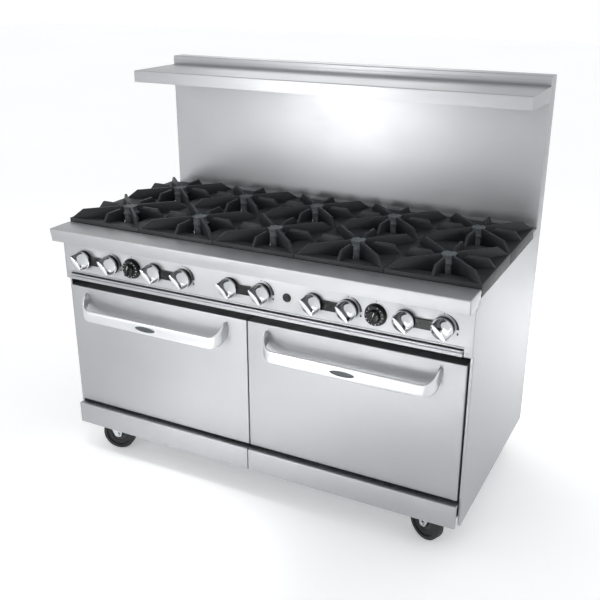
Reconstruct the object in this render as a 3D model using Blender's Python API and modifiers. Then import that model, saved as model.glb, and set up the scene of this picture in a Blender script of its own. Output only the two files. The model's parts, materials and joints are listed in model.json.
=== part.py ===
"""Commercial gas range: ten open burners over two drop-door ovens, with a back riser, a high shelf and casters.

Metres, +Z up, +X to the cook's right, -Y towards the cook. The origin is the middle of the overall footprint, on the
floor. Sheet parts are folded sheets, castings are fused blocks, and every moving piece has its origin on its joint.
"""

import math

import bmesh
import bpy
from mathutils import Matrix, Vector

# ---------------------------------------------------------------- driving dimensions
WIDTH = 1.524  # five 12 inch burner columns side by side
DEPTH = 0.864  # rear of the riser to the front of the landing ledge
HEIGHT = 1.435  # floor to the top of the riser
WORK_HEIGHT = 0.915  # top of the landing ledge
COLUMNS = 5
GAP = 0.0003  # clearance where two pieces touch
SHEET = 0.0015  # folded stainless sheet
PLATE = 0.003  # heavier formed plate

HALF = WIDTH / 2
INSIDE = HALF - SHEET - GAP  # half the width between the two side panels, less the clearance
COLUMN = WIDTH / COLUMNS
REAR = DEPTH / 2
LEDGE_FRONT = -REAR
LEDGE_BACK = LEDGE_FRONT + 0.105
LEDGE_LIP = 0.047
PANEL_FACE = LEDGE_FRONT + 0.062
DOOR_FACE = LEDGE_FRONT + 0.065
KICK_FACE = LEDGE_FRONT + 0.048
RISER_FACE = LEDGE_FRONT + 0.800
SIDE_FRONT = -0.355
SIDE_REAR = REAR - 0.002
BACK_PANEL = 0.408

SKIRT_BOTTOM = 0.122  # lower edge of the side panels, back panel and kick plates
KICK_TOP = 0.205
KICK_FLANGE = 0.012
BASE_PAN = 0.152  # underside of the base pan, on the caster plates
SIDE_TOP = 0.888
TRAY_FLOOR = 0.716
TRAY_HALF = 0.733
PANEL_BOTTOM = 0.712
PANEL_TOP = 0.866
KNOB_HEIGHT = 0.795

DOOR_BOTTOM = 0.216
DOOR_TOP = 0.686
DOOR_SIDE = 0.748
DOOR_GAP = 0.0015  # half the seam between the two doors
DOOR_THICK = 0.045
DOOR_LINER = 0.002
DOOR_PIVOT = (DOOR_FACE + 0.017, DOOR_BOTTOM + 0.012)  # y and z of the hinge line
HANDLE_HALF = 0.295
HANDLE_REACH = 0.062
HANDLE_TALL = 0.042
HANDLE_STRIP = 0.009
HANDLE_CORNER = 0.046
HANDLE_HEIGHT = 0.602
HANDLE_RISE = 0.048  # how far the strip climbs from the bar to where it meets the door

OVEN_FACE = -0.318
OVEN_HALF = 0.336
OVEN_FLOOR = 0.280
OVEN_ROOF = 0.630
OVEN_BACK = 0.325
OVEN_WALL = 0.004
OVEN_CENTRE = 0.380
RACK_HEIGHT = 0.4395
RACK_HALF = 0.328
RACK_FRONT = -0.303
RACK_BACK = 0.310

GRATE_DEPTH = 0.318
GRATE_FRONT = LEDGE_BACK + 0.003
FRAME_MARGIN = 0.0015  # the burner frame starts this far in front of the grates
FRAME_LOW = SIDE_TOP - 0.028
GRATE_SEAT = SIDE_TOP + GAP
GRATE_FRAME_TALL = 0.040
GRATE_TOP = 0.955  # the plane that pots stand on
GRATE_BOWL = 0.047  # radius of the opening over the burner
BURNER_RADIUS = 0.0195  # of the upright burner head

SHELF_TOP = 1.402
SHELF_FRONT = RISER_FACE - 0.265
SHELF_LIP = 0.043

WHEEL_RADIUS = 0.0635
WHEEL_WIDTH = 0.032
WHEEL_SIDES = 20
CASTER_TRAIL = 0.028
CASTER_X = 0.660
CASTER_FRONT_Y = KICK_FACE + 0.075
CASTER_REAR_Y = 0.337
# swivel position of each caster: the direction, in degrees from +X, in which its wheel trails
CASTERS = {
    "front_left": (-CASTER_X, CASTER_FRONT_Y, 15.0),
    "front_right": (CASTER_X, CASTER_FRONT_Y, 155.0),
    "rear_left": (-CASTER_X, CASTER_REAR_Y, 90.0),
    "rear_right": (CASTER_X, CASTER_REAR_Y, 90.0),
}

KNOB_SPREAD = 0.060  # each column's two knobs stand this far either side of its middle
THERMOSTATS = {"left": -1.5 * COLUMN, "right": 1.5 * COLUMN}
COLUMN_X = [(i - (COLUMNS - 1) / 2) * COLUMN for i in range(COLUMNS)]
KNOB_X = [x + side * KNOB_SPREAD for x in COLUMN_X for side in (-1, 1)]
STEM_BEHIND = 0.0115  # how far a valve stem reaches behind the panel's face

# ---------------------------------------------------------------- finishes: colour, roughness, metallic
FINISHES = {
    "stainless": ((0.60, 0.61, 0.62), 0.32, 1.0),
    "chrome": ((0.80, 0.80, 0.81), 0.08, 1.0),
    "cast_iron": ((0.035, 0.040, 0.042), 0.60, 0.3),
    "black_enamel": ((0.012, 0.012, 0.013), 0.35, 0.0),
    "black_plastic": ((0.015, 0.015, 0.016), 0.40, 0.0),
    "oven_enamel": ((0.030, 0.032, 0.040), 0.25, 0.0),
    "galvanised": ((0.45, 0.46, 0.47), 0.45, 1.0),
    "zinc": ((0.62, 0.63, 0.64), 0.35, 1.0),
    "rubber": ((0.015, 0.015, 0.015), 0.70, 0.0),
    "wire": ((0.65, 0.65, 0.66), 0.20, 1.0),
}

# ---------------------------------------------------------------- scene and helpers
for old in list(bpy.data.objects):
    bpy.data.objects.remove(old)
PARTS = bpy.data.collections.new("gas_range")
CUTTERS = bpy.data.collections.new("cutters")
bpy.context.scene.collection.children.link(PARTS)
bpy.context.scene.collection.children.link(CUTTERS)


def finish(name):
    """The Principled material of that name."""
    material = bpy.data.materials.get(name)
    if material is None:
        colour, roughness, metallic = FINISHES[name]
        material = bpy.data.materials.new(name)
        material.use_nodes = True
        shader = material.node_tree.nodes["Principled BSDF"]
        shader.inputs["Base Color"].default_value = (*colour, 1.0)
        shader.inputs["Roughness"].default_value = roughness
        shader.inputs["Metallic"].default_value = metallic
    return material


def shape(bm):
    """A loose working object, in the cutters' collection, with this bmesh as its mesh."""
    bmesh.ops.recalc_face_normals(bm, faces=bm.faces)
    mesh = bpy.data.meshes.new("shape")
    bm.to_mesh(mesh)
    bm.free()
    obj = bpy.data.objects.new("shape", mesh)
    obj.hide_render = True
    obj.display_type = "WIRE"
    CUTTERS.objects.link(obj)
    return obj


def block(x, y, z):
    """A box between two values on each axis."""
    bm = bmesh.new()
    size = [hi - lo for lo, hi in (x, y, z)]
    middle = Vector([(hi + lo) / 2 for lo, hi in (x, y, z)])
    bmesh.ops.create_cube(bm, size=1.0, matrix=Matrix.Translation(middle) @ Matrix.Diagonal((*size, 1.0)))
    return shape(bm)


def rod(start, end, radius, sides=12, end_radius=None):
    """A cylinder, or a cone, from one point to another."""
    start, end = Vector(start), Vector(end)
    along = end - start
    turn = along.to_track_quat("Z", "Y").to_matrix().to_4x4()
    bm = bmesh.new()
    bmesh.ops.create_cone(
        bm,
        cap_ends=True,
        segments=sides,
        radius1=radius,
        radius2=radius if end_radius is None else end_radius,
        depth=along.length,
        matrix=Matrix.Translation((start + end) / 2) @ turn @ Matrix.Rotation(math.pi / sides, 4, "Z"),
    )
    return shape(bm)


AXES = {"X": (1, 2, 0), "Y": (2, 0, 1), "Z": (0, 1, 2)}


def place(pair, along, axis):
    """The point whose two outline coordinates are pair and whose coordinate on the axis is along."""
    first, second, third = AXES[axis]
    point = [0.0, 0.0, 0.0]
    point[first], point[second], point[third] = pair[0], pair[1], along
    return point


def prism(outline, axis, lo, hi):
    """A closed outline, in the plane across the axis, drawn out from lo to hi. Across X an outline point is (y, z)."""
    bm = bmesh.new()
    face = bm.faces.new([bm.verts.new(place(p, lo, axis)) for p in outline])
    drawn = bmesh.ops.extrude_face_region(bm, geom=[face])
    moved = [v for v in drawn["geom"] if isinstance(v, bmesh.types.BMVert)]
    bmesh.ops.translate(bm, verts=moved, vec=place((0, 0), hi - lo, axis))
    return shape(bm)


def folded(line, axis, lo, hi, thickness=SHEET):
    """A sheet folded along an open line and drawn out from lo to hi, with its thickness on the line's left."""
    points = [Vector(p) for p in line]
    normals = [Vector((a.y - b.y, b.x - a.x)).normalized() for a, b in zip(points, points[1:])]
    inner = []
    for point, before, after in zip(points, normals[:1] + normals, normals + normals[-1:]):
        mitre = (before + after).normalized()
        inner.append(point + mitre * thickness / mitre.dot(after))
    return prism([*points, *inner[::-1]], axis, lo, hi)


def settle(obj):
    """Makes the object's modifiers part of its mesh."""
    bpy.context.view_layer.update()
    graph = bpy.context.evaluated_depsgraph_get()
    mesh = bpy.data.meshes.new_from_object(obj.evaluated_get(graph))
    obj.modifiers.clear()
    obj.data = mesh


def combine(base, others, operation):
    """Joins the other shapes to the base, or cuts them from it, and removes them."""
    group = bpy.data.collections.new("operands")
    bpy.context.scene.collection.children.link(group)
    for other in others:
        group.objects.link(other)
    modifier = base.modifiers.new(operation.lower(), "BOOLEAN")
    modifier.operation = operation
    modifier.operand_type = "COLLECTION"
    modifier.collection = group
    settle(base)
    for other in others:
        bpy.data.objects.remove(other)
    bpy.data.collections.remove(group)
    return base


def fuse(*pieces):
    return combine(pieces[0], pieces[1:], "UNION")


def carve(base, *cutters):
    return combine(base, cutters, "DIFFERENCE")


def part(obj, name, look, smooth=False):
    """Turns a working shape into a named sub-part with its finish."""
    CUTTERS.objects.unlink(obj)
    PARTS.objects.link(obj)
    obj.name = name
    obj.data.name = name
    obj.hide_render = False
    obj.display_type = "TEXTURED"
    obj.data.materials.clear()
    obj.data.materials.append(finish(look))
    if smooth:
        obj.data.shade_smooth()
        obj.data.set_sharp_from_angle(angle=math.radians(35))
    return obj


def copy_of(pattern, name, location, turn=0.0):
    """Another object with the pattern's mesh, placed and turned about Z."""
    obj = bpy.data.objects.new(name, pattern.data)
    obj.location = location
    obj.rotation_euler = (0, 0, turn)
    PARTS.objects.link(obj)
    return obj


def hinge(name, location, pieces):
    """An empty on a joint's axis that carries the pieces of one moving body."""
    empty = bpy.data.objects.new(name, None)
    empty.location = location
    PARTS.objects.link(empty)
    bpy.context.view_layer.update()
    for piece in pieces:
        piece.parent = empty
        piece.matrix_parent_inverse = empty.matrix_world.inverted()
    return empty


# ---------------------------------------------------------------- cabinet
def side_panel(side, name):
    """Flat side sheet with a narrow return front and rear, and the runner that the crumb tray slides on."""
    front_return, rear_return = 0.010, 0.008
    line = [
        (side * (HALF - front_return), SIDE_FRONT),
        (side * HALF, SIDE_FRONT),
        (side * HALF, SIDE_REAR),
        (side * (HALF - rear_return), SIDE_REAR),
    ]
    if side < 0:
        line.reverse()
    runner = block(
        sorted((side * (HALF - 0.001), side * (TRAY_HALF - 0.012))),
        (-0.315, 0.275),
        (TRAY_FLOOR - GAP - 0.003, TRAY_FLOOR - GAP),
    )
    part(fuse(folded(line, "Z", SKIRT_BOTTOM, SIDE_TOP), runner), name, "stainless")


def back_panel():
    """Rear sheet between the side panels, with a hole for the gas inlet."""
    sheet = block((-INSIDE, INSIDE), (BACK_PANEL - SHEET, BACK_PANEL), (SKIRT_BOTTOM, SIDE_TOP))
    hole = rod((INLET_X, BACK_PANEL - 0.01, KNOB_HEIGHT), (INLET_X, BACK_PANEL + 0.01, KNOB_HEIGHT), 0.016)
    part(carve(sheet, hole), "back_panel", "galvanised")


def base_frame():
    """Base pan with turned-up edges, and under it the four caster plates with their swivel races."""
    front, rear = KICK_FACE + KICK_FLANGE + GAP, BACK_PANEL - SHEET - GAP
    pan = folded(
        [(front, KICK_TOP), (front, BASE_PAN), (rear, BASE_PAN), (rear, KICK_TOP)], "X", -INSIDE, INSIDE, PLATE
    )
    pieces = [
        block(sorted((side * INSIDE, side * (INSIDE - PLATE))), (front, rear), (BASE_PAN, KICK_TOP))
        for side in (-1, 1)
    ]
    for x, y, _ in CASTERS.values():
        pieces.append(block((x - 0.045, x + 0.045), (y - 0.045, y + 0.045), (BASE_PAN - 0.006, BASE_PAN + 0.001)))
        pieces.append(rod((x, y, BASE_PAN - 0.005), (x, y, BASE_PAN - 0.012), 0.030, 16))
    notches = [
        block(sorted((side * (HALF - 0.0125), side * HALF)), (front - 0.01, SIDE_FRONT + 0.004), (0.1, 0.3))
        for side in (-1, 1)
    ]
    part(carve(fuse(pan, *pieces), *notches), "base_frame", "galvanised")


def kick_plate(lo, hi, name):
    """Lower front channel, one under each door."""
    line = [
        (KICK_FACE + KICK_FLANGE, SKIRT_BOTTOM),
        (KICK_FACE, SKIRT_BOTTOM),
        (KICK_FACE, KICK_TOP),
        (KICK_FACE + KICK_FLANGE, KICK_TOP),
    ]
    part(folded(line[::-1], "X", lo, hi), name, "stainless")


def control_panel():
    """Front sheet with a top return, end returns, twelve stem holes and the tray's slot."""
    sheet = folded(
        [(SIDE_FRONT - GAP, PANEL_TOP), (PANEL_FACE, PANEL_TOP), (PANEL_FACE, PANEL_BOTTOM)], "X", -HALF, HALF
    )
    ends = [
        block(
            sorted((side * HALF, side * (HALF - SHEET))), (PANEL_FACE, SIDE_FRONT - GAP), (PANEL_BOTTOM, PANEL_TOP)
        )
        for side in (-1, 1)
    ]
    panel = fuse(sheet, *ends)
    slot = block((-TRAY_HALF - 0.0025, TRAY_HALF + 0.0025), (PANEL_FACE - 0.01, PANEL_FACE + 0.01), (PANEL_BOTTOM - 0.01, 0.7385))
    drills = [
        rod((x, PANEL_FACE - 0.01, KNOB_HEIGHT), (x, PANEL_FACE + 0.01, KNOB_HEIGHT), 0.006, 10)
        for x in [*KNOB_X, *THERMOSTATS.values()]
    ]
    part(carve(panel, slot, *drills), "control_panel", "stainless")


def front_ledge():
    """Landing ledge: a folded sheet with a slightly undercut lip, hemmed below, and end caps on the side panels."""
    undercut, hem = 0.008, 0.012
    lip_foot = (LEDGE_FRONT + undercut, WORK_HEIGHT - LEDGE_LIP)
    back, seat = LEDGE_BACK - 0.002, SIDE_TOP + GAP
    sheet = folded(
        [
            (back, seat),
            (back, WORK_HEIGHT),
            (LEDGE_FRONT, WORK_HEIGHT),
            lip_foot,
            (lip_foot[0] + hem, lip_foot[1]),
        ],
        "X",
        -HALF,
        HALF,
    )
    end_outline = [
        lip_foot,
        (SIDE_FRONT - GAP, lip_foot[1]),
        (SIDE_FRONT - GAP, seat),
        (back, seat),
        (back, WORK_HEIGHT),
        (LEDGE_FRONT, WORK_HEIGHT),
    ]
    ends = [prism(end_outline, "X", *sorted((side * HALF, side * (HALF - SHEET)))) for side in (-1, 1)]
    part(fuse(sheet, *ends), "front_ledge", "stainless")


def back_riser():
    """Hollow riser, open below as the flue, with a low step behind the grates."""
    step_y, step_z, foot = 0.318, 0.912, SIDE_TOP + GAP
    line = [
        (step_y, foot),
        (step_y, step_z),
        (RISER_FACE, step_z),
        (RISER_FACE, HEIGHT),
        (REAR, HEIGHT),
        (REAR, foot),
    ]
    sheet = folded(line[::-1], "X", -HALF, HALF)
    end_outline = [(p[0], p[1]) for p in line[::-1]]
    ends = [prism(end_outline, "X", *sorted((side * HALF, side * (HALF - SHEET)))) for side in (-1, 1)]
    part(fuse(sheet, *ends), "back_riser", "stainless")


def high_shelf():
    """Folded shelf with a front lip, a hem against the riser and end gussets."""
    back = RISER_FACE - GAP
    hem = 0.018
    sheet = folded(
        [
            (back - SHEET, SHELF_TOP + hem),
            (back - SHEET, SHELF_TOP),
            (SHELF_FRONT, SHELF_TOP),
            (SHELF_FRONT + 0.004, SHELF_TOP - SHELF_LIP),
        ],
        "X",
        -HALF,
        HALF,
    )
    gusset = [
        (SHELF_FRONT + 0.004, SHELF_TOP - SHELF_LIP),
        (back, SHELF_TOP - SHELF_LIP - 0.012),
        (back, SHELF_TOP - 0.0005),
        (SHELF_FRONT + 0.0005, SHELF_TOP - 0.0005),
    ]
    ends = [prism(gusset, "X", *sorted((side * HALF, side * (HALF - PLATE)))) for side in (-1, 1)]
    part(fuse(sheet, *ends), "high_shelf", "stainless")


# ---------------------------------------------------------------- gas train and cooktop
INLET_X = 0.742
MANIFOLD_Y = -0.335


def gas_manifold():
    """Pipe hung from the burner frame, with a valve for every knob, turning back to the rear gas inlet."""
    radius, valve = 0.011, 0.011
    pipe = rod((-0.700, MANIFOLD_Y, KNOB_HEIGHT), (INLET_X + radius, MANIFOLD_Y, KNOB_HEIGHT), radius, 10)
    run = rod((INLET_X, MANIFOLD_Y, KNOB_HEIGHT), (INLET_X, REAR - 0.001, KNOB_HEIGHT), radius, 10)
    front = PANEL_FACE + STEM_BEHIND + 0.0006
    valves = [
        rod((x, front, KNOB_HEIGHT), (x, MANIFOLD_Y, KNOB_HEIGHT), valve, 8)
        for x in [*KNOB_X, *THERMOSTATS.values()]
    ]
    frame_front = GRATE_FRONT - FRAME_MARGIN
    brackets = [
        block((x - 0.012, x + 0.012), (frame_front - 0.002, frame_front + 0.001), (KNOB_HEIGHT, FRAME_LOW - GAP))
        for x in (-COLUMN, COLUMN)
    ]
    bore = rod((INLET_X, REAR - 0.030, KNOB_HEIGHT), (INLET_X, REAR + 0.010, KNOB_HEIGHT), 0.007, 10)
    part(carve(fuse(pipe, run, *valves, *brackets), bore), "gas_manifold", "black_enamel")


def grate_middle(row):
    return GRATE_FRONT + GRATE_DEPTH * (row + 0.5) + 0.001 * row


def burner_frame():
    """Black frame that carries the grates, with cross rails between the columns and two bars under the burners."""
    front, rear = GRATE_FRONT - FRAME_MARGIN, 0.313
    outer, rail = INSIDE, 0.012
    low, top = FRAME_LOW, SIDE_TOP
    middle = (grate_middle(0) + grate_middle(1)) / 2
    rails = [
        block((-outer, outer), (front, front + PLATE), (low, top)),
        block((-outer, outer), (rear - PLATE, rear), (low, top)),
        block((-outer, -outer + PLATE), (front, rear), (low, top)),
        block((outer - PLATE, outer), (front, rear), (low, top)),
        block((-outer, outer), (middle - rail / 2, middle + rail / 2), (top - 0.012, top)),
    ]
    for i in range(COLUMNS - 1):
        x = (COLUMN_X[i] + COLUMN_X[i + 1]) / 2
        rails.append(block((x - rail / 2, x + rail / 2), (front, rear), (top - 0.012, top)))
    bar_top = BURNER_TUBE_Z - BURNER_TUBE - GAP
    for row in (0, 1):
        y = grate_middle(row) + 0.030
        rails.append(block((-0.724, 0.724), (y - 0.010, y + 0.010), (bar_top - 0.012, bar_top)))
        for side in (-1, 1):
            rails.append(block(sorted((side * 0.721, side * 0.724)), (y - 0.010, y + 0.010), (bar_top - 0.01, top - 0.006)))
            rails.append(block(sorted((side * 0.721, side * outer)), (y - 0.010, y + 0.010), (top - 0.012, top)))
    part(fuse(*rails), "burner_frame", "black_enamel")


BURNER_TUBE = 0.015
BURNER_TUBE_Z = 0.818
BURNER_COLLAR = 0.862
BURNER_TOP = 0.950


def burner_pair():
    """One column's casting: a front and a rear burner head, each on its own mixing tube, tied by a bridge."""
    pieces = []
    for row, x in ((0, 0.028), (1, -0.028)):
        y = grate_middle(row)
        pieces.append(rod((x, -0.310, BURNER_TUBE_Z), (x, y + 0.045, BURNER_TUBE_Z), BURNER_TUBE, 8))
        pieces.append(rod((0, y, BURNER_TUBE_Z - 0.004), (0, y, BURNER_COLLAR), 0.034, 12))
        pieces.append(rod((0, y, BURNER_COLLAR - 0.001), (0, y, BURNER_COLLAR + 0.014), 0.034, 12, BURNER_RADIUS))
        pieces.append(rod((0, y, BURNER_COLLAR + 0.010), (0, y, BURNER_TOP), BURNER_RADIUS, 12))
    pieces.append(block((-0.030, 0.030), (-0.290, -0.277), (BURNER_TUBE_Z - 0.006, BURNER_TUBE_Z + 0.006)))
    return part(fuse(*pieces), "burners_1", "cast_iron", smooth=True)


def grate():
    """Cast grate about its own middle: a square frame, a low bowl plate with a round opening, and eight arms."""
    x, y = COLUMN / 2 - 0.0006, GRATE_DEPTH / 2 - 0.0004
    rim, web = 0.012, 0.0045
    frame_top = GRATE_SEAT + GRATE_FRAME_TALL
    frame = block((-x, x), (-y, y), (GRATE_SEAT, frame_top))
    well = block((-x + rim, x - rim), (-y + rim, y - rim), (GRATE_SEAT + web, frame_top + 0.01))
    hole = rod((0, 0, GRATE_SEAT - 0.01), (0, 0, GRATE_SEAT + 0.02), GRATE_BOWL, 16)
    body = carve(frame, well, hole)
    arms = []
    tip, thick = 0.036, 0.0095
    for i in range(8):
        angle = i * math.pi / 4
        reach = min(x / max(abs(math.cos(angle)), 1e-9), y / max(abs(math.sin(angle)), 1e-9)) - rim * 0.6
        outline = [
            (tip, GRATE_TOP - 0.034),
            (tip + 0.016, GRATE_SEAT + 0.0005),
            (reach, GRATE_SEAT + 0.0005),
            (reach, frame_top - 0.001),
            (reach - 0.036, GRATE_TOP),
            (tip, GRATE_TOP),
        ]
        arm = prism([(p[1], p[0]) for p in outline], "Y", -thick / 2, thick / 2)
        arm.matrix_world = Matrix.Rotation(angle, 4, "Z")
        arms.append(arm)
    return part(fuse(body, *arms), "grate_front_1", "cast_iron")


def cooktop():
    """Burner castings and grates, one pattern of each repeated over the columns."""
    casting, pattern = burner_pair(), grate()
    casting.location.x = COLUMN_X[0]
    for i, x in enumerate(COLUMN_X[1:], start=2):
        copy_of(casting, f"burners_{i}", (x, 0, 0))
    pattern.location = (COLUMN_X[0], grate_middle(0), 0)
    for row, word in enumerate(("front", "rear")):
        for i, x in enumerate(COLUMN_X, start=1):
            if (row, i) != (0, 1):
                copy_of(pattern, f"grate_{word}_{i}", (x, grate_middle(row), 0))


# ---------------------------------------------------------------- ovens
def oven_liner(side, name):
    """Enamelled oven box, open at the front, with a front flange and a pair of rack guides."""
    middle = side * OVEN_CENTRE
    flange = block(
        sorted((side * 0.0005, side * INSIDE)), (OVEN_FACE, OVEN_FACE + PLATE), (KICK_TOP + GAP, 0.700)
    )
    outer = block(
        (middle - OVEN_HALF - OVEN_WALL, middle + OVEN_HALF + OVEN_WALL),
        (OVEN_FACE + 0.001, OVEN_BACK + OVEN_WALL),
        (OVEN_FLOOR - OVEN_WALL, OVEN_ROOF + OVEN_WALL),
    )
    cavity = block(
        (middle - OVEN_HALF, middle + OVEN_HALF), (OVEN_FACE - 0.01, OVEN_BACK), (OVEN_FLOOR, OVEN_ROOF)
    )
    box = carve(fuse(flange, outer), cavity)
    guides = [
        block(
            sorted((middle + hand * (OVEN_HALF + 0.002), middle + hand * (RACK_HALF - 0.008))),
            (-0.295, 0.315),
            (RACK_HEIGHT - 0.0092, RACK_HEIGHT - 0.0033),
        )
        for hand in (-1, 1)
    ]
    part(fuse(box, *guides), name, "oven_enamel")


def oven_rack(side, name):
    """Wire rack: a rod frame with wires laid across it."""
    middle = side * OVEN_CENTRE
    rail, wire, wires = 0.003, 0.0022, 9
    z = RACK_HEIGHT
    pieces = [rod((middle - RACK_HALF, y, z), (middle + RACK_HALF, y, z), rail, 6) for y in (RACK_FRONT, 0.005, RACK_BACK)]
    for i in range(wires):
        x = middle + RACK_HALF * (2 * i / (wires - 1) - 1)
        edge = i in (0, wires - 1)
        lift = 0 if edge else 0.002
        pieces.append(
            rod((x, RACK_FRONT, z + lift), (x, RACK_BACK, z + lift), rail if edge else wire, 6)
        )
    rack = part(fuse(*pieces), name, "wire")
    hinge(f"{name}_slide", (middle, RACK_FRONT, z), [rack])


def oven_door(side, word):
    """Drop door: a folded outer skin, an inner liner pan whose walls hold the insulation, and a broad strip handle."""
    near, far = sorted((side * DOOR_GAP, side * DOOR_SIDE))
    middle = (near + far) / 2
    back = DOOR_FACE + DOOR_THICK
    liner_face = back - DOOR_LINER
    skin = block((near, far), (DOOR_FACE, liner_face - GAP), (DOOR_BOTTOM, DOOR_TOP))
    hollow = block(
        (near + SHEET, far - SHEET), (DOOR_FACE + SHEET, liner_face + 0.01), (DOOR_BOTTOM + SHEET, DOOR_TOP - SHEET)
    )
    panel = part(carve(skin, hollow), f"door_{word}_panel", "stainless")
    plate = block((near, far), (liner_face, back), (DOOR_BOTTOM, DOOR_TOP))
    rim, wall = 0.020, DOOR_LINER
    walls = block(
        (near + rim, far - rim), (DOOR_FACE + 0.006, liner_face + 0.001), (DOOR_BOTTOM + rim, DOOR_TOP - rim)
    )
    inside = block(
        (near + rim + wall, far - rim - wall),
        (DOOR_FACE, liner_face),
        (DOOR_BOTTOM + rim + wall, DOOR_TOP - rim - wall),
    )
    liner = part(carve(fuse(plate, walls), inside), f"door_{word}_liner", "oven_enamel")
    handle = part(handle_strip(middle), f"door_{word}_handle", "stainless", smooth=True)
    hinge(f"door_{word}_hinge", (middle, *DOOR_PIVOT), [panel, liner, handle])


def handle_strip(middle):
    """A broad upright strip that leaves the door, drops as it turns a round corner, runs across and climbs back."""
    root = DOOR_FACE - GAP
    bar = DOOR_FACE - HANDLE_REACH + HANDLE_STRIP / 2
    steps = 6
    stations = [(HANDLE_HALF, root, HANDLE_RISE)]
    for i in range(steps + 1):
        angle = math.radians(90 * i / steps)
        stations.append(
            (
                HANDLE_HALF - HANDLE_CORNER * (1 - math.cos(angle)),
                bar + HANDLE_CORNER * (1 - math.sin(angle)),
                HANDLE_RISE * (1 - math.sin(angle)) * 0.75,
            )
        )
    stations += [(-x, y, rise) for x, y, rise in stations[::-1]]
    points = [Vector((middle + x, y)) for x, y, _ in stations]
    bm = bmesh.new()
    rings = []
    for i, point in enumerate(points):
        if i in (0, len(points) - 1):
            along = Vector((0, -1 if i == 0 else 1))
        else:
            along = points[i + 1] - points[i - 1]
        half = Vector((along.y, -along.x)).normalized() * HANDLE_STRIP / 2
        z = HANDLE_HEIGHT + stations[i][2]
        low, high = z - HANDLE_TALL / 2, z + HANDLE_TALL / 2
        corners = [(half, low), (half, high), (-half, high), (-half, low)]
        rings.append([bm.verts.new((*(point + side), level)) for side, level in corners])
    for first, second in zip(rings, rings[1:]):
        for i in range(4):
            bm.faces.new([first[i], first[(i + 1) % 4], second[(i + 1) % 4], second[i]])
    bm.faces.new(rings[0])
    bm.faces.new(rings[-1][::-1])
    return shape(bm)


def crumb_tray():
    """Full-width tray under the burners, with a turned-out front edge as its pull."""
    rim = TRAY_FLOOR + 0.018
    front, rear, across = PANEL_FACE - 0.001, 0.285, TRAY_HALF
    pan = folded(
        [(front - 0.008, rim), (front, rim), (front, TRAY_FLOOR), (rear, TRAY_FLOOR), (rear, rim)],
        "X",
        -across,
        across,
    )
    ends = [
        block(sorted((side * across, side * (across - SHEET))), (front, rear), (TRAY_FLOOR, rim)) for side in (-1, 1)
    ]
    tray = part(fuse(pan, *ends), "crumb_tray", "galvanised")
    hinge("crumb_tray_slide", (0, front, TRAY_FLOOR), [tray])


# ---------------------------------------------------------------- knobs
def knob(stand, skirt, body, tall, look, name):
    """A knob about its stem's axis, standing off the panel along -Y: skirt, tapered body, grip bar and stem."""
    pieces = [
        rod((0, -stand, 0), (0, -stand - 0.008, 0), skirt, 20),
        rod((0, -stand - 0.007, 0), (0, -tall + 0.012, 0), body, 20, body * 0.82),
        block((-0.0075, 0.0075), (-tall, -stand - 0.010), (-body * 0.98, body * 0.98)),
        rod((0, -stand - 0.002, 0), (0, STEM_BEHIND, 0), 0.004, 8),
    ]
    return part(fuse(*pieces), name, look, smooth=True)


def knobs():
    """Ten burner knobs and two thermostat knobs on the control panel."""
    pattern = knob(0.012, 0.035, 0.033, 0.052, "chrome", "burner_knob_1")
    pattern.location = (KNOB_X[0], PANEL_FACE, KNOB_HEIGHT)
    for i, x in enumerate(KNOB_X[1:], start=2):
        copy_of(pattern, f"burner_knob_{i}", (x, PANEL_FACE, KNOB_HEIGHT))
    dial = knob(0.0035, 0.034, 0.030, 0.034, "black_plastic", "thermostat_knob_left")
    dial.location = (THERMOSTATS["left"], PANEL_FACE, KNOB_HEIGHT)
    copy_of(dial, "thermostat_knob_right", (THERMOSTATS["right"], PANEL_FACE, KNOB_HEIGHT))


# ---------------------------------------------------------------- casters
BRAKE_PIVOT = (CASTER_TRAIL + 0.022, 0.113)  # along the trail and above the floor
FORK_INNER = WHEEL_WIDTH / 2 + 0.003
FORK_PLATE = 0.003


def caster_fork(name, braked):
    """Fork about its swivel axis, trailing along +X: crown, two side plates, the axle, and the brake's pivot pins."""
    crown_top = BASE_PAN - 0.012 - GAP
    crown_low = crown_top - 0.006
    outline = [
        (crown_low + 0.001, -0.022),
        (WHEEL_RADIUS - 0.010, CASTER_TRAIL - 0.011),
        (WHEEL_RADIUS - 0.010, CASTER_TRAIL + 0.011),
        (BRAKE_PIVOT[1] - 0.008, BRAKE_PIVOT[0] + 0.008),
        (crown_low + 0.001, BRAKE_PIVOT[0] + 0.004),
    ]
    pieces = [
        rod((0, 0, crown_low), (0, 0, crown_top), 0.031, 16),
        block((-0.020, BRAKE_PIVOT[0] + 0.002), (-FORK_INNER - FORK_PLATE, FORK_INNER + FORK_PLATE), (crown_low, crown_low + 0.004)),
        rod((CASTER_TRAIL, -0.027, WHEEL_RADIUS), (CASTER_TRAIL, 0.027, WHEEL_RADIUS), 0.0055, 10),
    ]
    for side in (-1, 1):
        pieces.append(prism(outline, "Y", *sorted((side * FORK_INNER, side * (FORK_INNER + FORK_PLATE)))))
        if braked:
            reach = side * (FORK_INNER + FORK_PLATE + 0.006)
            start = side * (FORK_INNER + 0.001)
            pieces.append(
                rod((BRAKE_PIVOT[0], start, BRAKE_PIVOT[1]), (BRAKE_PIVOT[0], reach, BRAKE_PIVOT[1]), 0.003, 8)
            )
    return part(fuse(*pieces), name, "zinc")


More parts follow.
